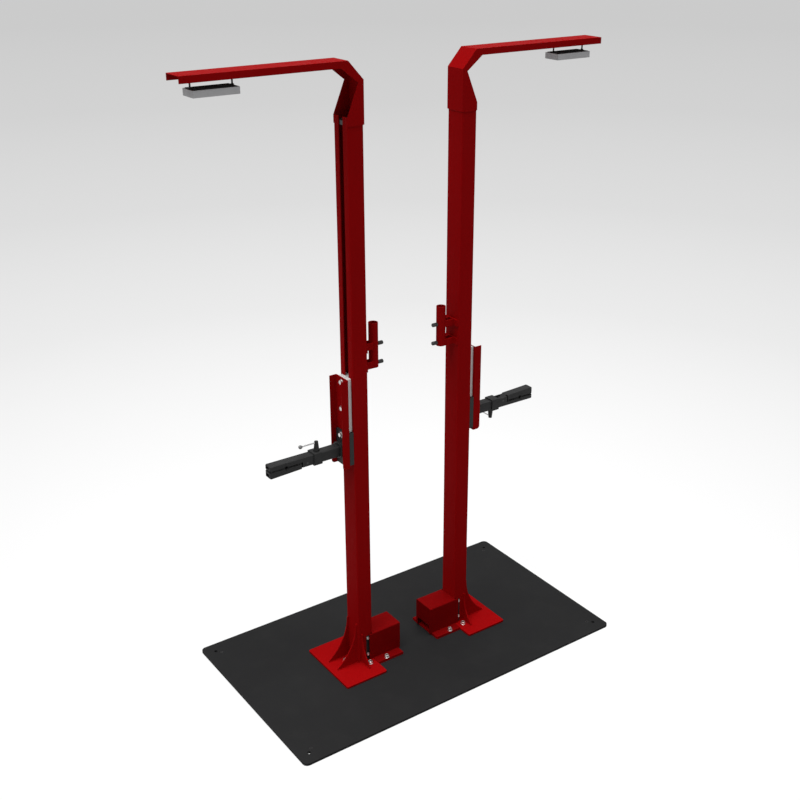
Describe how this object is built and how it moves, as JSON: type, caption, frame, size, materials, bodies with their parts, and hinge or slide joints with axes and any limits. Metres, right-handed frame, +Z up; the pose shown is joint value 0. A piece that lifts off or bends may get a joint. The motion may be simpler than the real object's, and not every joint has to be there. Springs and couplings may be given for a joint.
{
  "type": "bicycle work stand",
  "caption": "Floor plate with slotted columns facing away from each other, each with a screw-driven carriage, a swivelling bicycle clamp, an accessory socket and a lamp arm.",
  "frame": {"origin": "centre of the floor plate's underside", "axes": "+X along the plate's long side, from one column towards the other; +Y across it; +Z up"},
  "size_m": [1.716, 0.85, 2.381],
  "materials": {
    "red_paint": "glossy red powder coat",
    "plate_paint": "fine-textured dark grey powder coat",
    "motor_paint": "dark grey paint on a cast housing",
    "screw_steel": "ground and oiled steel",
    "bearing_steel": "bright bearing steel",
    "nut_bronze": "plain turned bronze",
    "guide_plastic": "off-white sliding plastic",
    "white_plastic": "white sliding plastic",
    "black_plastic": "black moulded plastic",
    "black_metal": "satin black powder coat",
    "jaw_plastic": "black glass-filled nylon with a fine grain",
    "jaw_rubber": "grey-black rubber liner",
    "crank_metal": "black coated crank with a bright rod",
    "ball_plastic": "light grey ball grip",
    "zinc": "bright zinc plate",
    "dark_screws": "black oxide steel",
    "lamp_alloy": "satin grey lamp housing",
    "lamp_fixings": "black hangers and nuts",
    "lamp_lens": "opal lamp cover"
  },
  "bodies": {
    "frame": {"base_plate": "plate_paint", "levelling_screws": "dark_screws", "foot_ribs": "red_paint", "foot_bolts": "zinc", "screw_bearings": "bearing_steel", "socket_tubes": "red_paint", "socket_brackets": "red_paint", "socket_screws": "dark_screws", "lamp_hangers": "lamp_fixings", "lamp_lenses": "lamp_lens", "left_column": "red_paint", "left_top_arm": "red_paint", "left_foot_plate": "red_paint", "left_drive_cover": "red_paint", "left_gearmotor": "motor_paint", "left_lamp_housing": "lamp_alloy", "right_column": "red_paint", "right_top_arm": "red_paint", "right_foot_plate": "red_paint", "right_drive_cover": "red_paint", "right_gearmotor": "motor_paint", "right_lamp_housing": "lamp_alloy"},
    "left_screw": {"left_lifting_screw": "screw_steel"},
    "left_carriage": {"left_screw_nut": "nut_bronze", "left_guide_block": "guide_plastic", "left_slide_pad": "white_plastic", "left_carriage_channel": "red_paint", "left_carriage_bolts": "zinc", "left_swivel_block": "black_plastic", "left_swivel_head": "black_metal"},
    "left_clamp": {"left_clamp_arm": "black_metal", "left_clamp_rings": "black_metal", "left_clamp_collar": "jaw_plastic", "left_fixed_jaw": "jaw_plastic", "left_fixed_jaw_pad": "jaw_rubber", "left_jaw_pivot_pin": "dark_screws"},
    "left_jaw": {"left_moving_jaw": "jaw_plastic", "left_moving_jaw_pad": "jaw_rubber"},
    "left_crank_handle": {"left_crank": "crank_metal", "left_crank_ball": "ball_plastic"},
    "left_stud": {"left_clamp_stud": "screw_steel"},
    "right_screw": {"right_lifting_screw": "screw_steel"},
    "right_carriage": {"right_screw_nut": "nut_bronze", "right_guide_block": "guide_plastic", "right_slide_pad": "white_plastic", "right_carriage_channel": "red_paint", "right_carriage_bolts": "zinc", "right_swivel_block": "black_plastic", "right_swivel_head": "black_metal"},
    "right_clamp": {"right_clamp_arm": "black_metal", "right_clamp_rings": "black_metal", "right_clamp_collar": "jaw_plastic", "right_fixed_jaw": "jaw_plastic", "right_fixed_jaw_pad": "jaw_rubber", "right_jaw_pivot_pin": "dark_screws"},
    "right_jaw": {"right_moving_jaw": "jaw_plastic", "right_moving_jaw_pad": "jaw_rubber"},
    "right_crank_handle": {"right_crank": "crank_metal", "right_crank_ball": "ball_plastic"},
    "right_stud": {"right_clamp_stud": "screw_steel"}
  },
  "joints": [
    {"name": "left_carriage_lift", "type": "slide", "parent": "frame", "child": "left_carriage", "axis": [0, 0, 1], "range_m": [0, 0.85]},
    {"name": "left_screw_turn", "type": "hinge", "parent": "frame", "child": "left_screw", "pos_m": [-0.234, 0, 0.134], "axis": [0, 0, 1], "range_deg": [-15300, 0]},
    {"name": "left_clamp_swivel", "type": "hinge", "parent": "left_carriage", "child": "left_clamp", "pos_m": [-0.3, 0, 0.977], "axis": [-1, 0, 0], "continuous": true},
    {"name": "left_stud_draw", "type": "slide", "parent": "left_clamp", "child": "left_stud", "axis": [0, 0, 1], "range_m": [0, 0.01386]},
    {"name": "left_crank_turn", "type": "hinge", "parent": "left_clamp", "child": "left_crank_handle", "pos_m": [-0.41, 0, 0.9998], "axis": [0, 0, 1], "range_deg": [0, 1080.5]},
    {"name": "left_jaw_open", "type": "hinge", "parent": "left_clamp", "child": "left_jaw", "pos_m": [-0.46, 0, 0.971], "axis": [0, -1, 0], "range_deg": [0, 16.01]},
    {"name": "right_carriage_lift", "type": "slide", "parent": "frame", "child": "right_carriage", "axis": [0, 0, 1], "range_m": [0, 0.85]},
    {"name": "right_screw_turn", "type": "hinge", "parent": "frame", "child": "right_screw", "pos_m": [0.234, 0, 0.134], "axis": [0, 0, 1], "range_deg": [-15300, 0]},
    {"name": "right_clamp_swivel", "type": "hinge", "parent": "right_carriage", "child": "right_clamp", "pos_m": [0.3, 0, 0.977], "axis": [1, 0, 0], "continuous": true},
    {"name": "right_stud_draw", "type": "slide", "parent": "right_clamp", "child": "right_stud", "axis": [0, 0, -1], "range_m": [0, 0.01386]},
    {"name": "right_crank_turn", "type": "hinge", "parent": "right_clamp", "child": "right_crank_handle", "pos_m": [0.41, 0, 0.9542], "axis": [0, 0, -1], "range_deg": [0, 1080.5]},
    {"name": "right_jaw_open", "type": "hinge", "parent": "right_clamp", "child": "right_jaw", "pos_m": [0.46, 0, 0.983], "axis": [0, -1, 0], "range_deg": [0, 16.01]}
  ],
  "couplings": [
    {"joint": "left_screw_turn", "follows": "left_carriage_lift", "rad_per_m": -314.16},
    {"joint": "left_crank_turn", "follows": "left_stud_draw", "rad_per_m": 1360.1},
    {"joint": "left_jaw_open", "follows": "left_stud_draw", "rad_per_m": 20.15},
    {"joint": "right_screw_turn", "follows": "right_carriage_lift", "rad_per_m": -314.16},
    {"joint": "right_crank_turn", "follows": "right_stud_draw", "rad_per_m": 1360.1},
    {"joint": "right_jaw_open", "follows": "right_stud_draw", "rad_per_m": 20.15}
  ]
}
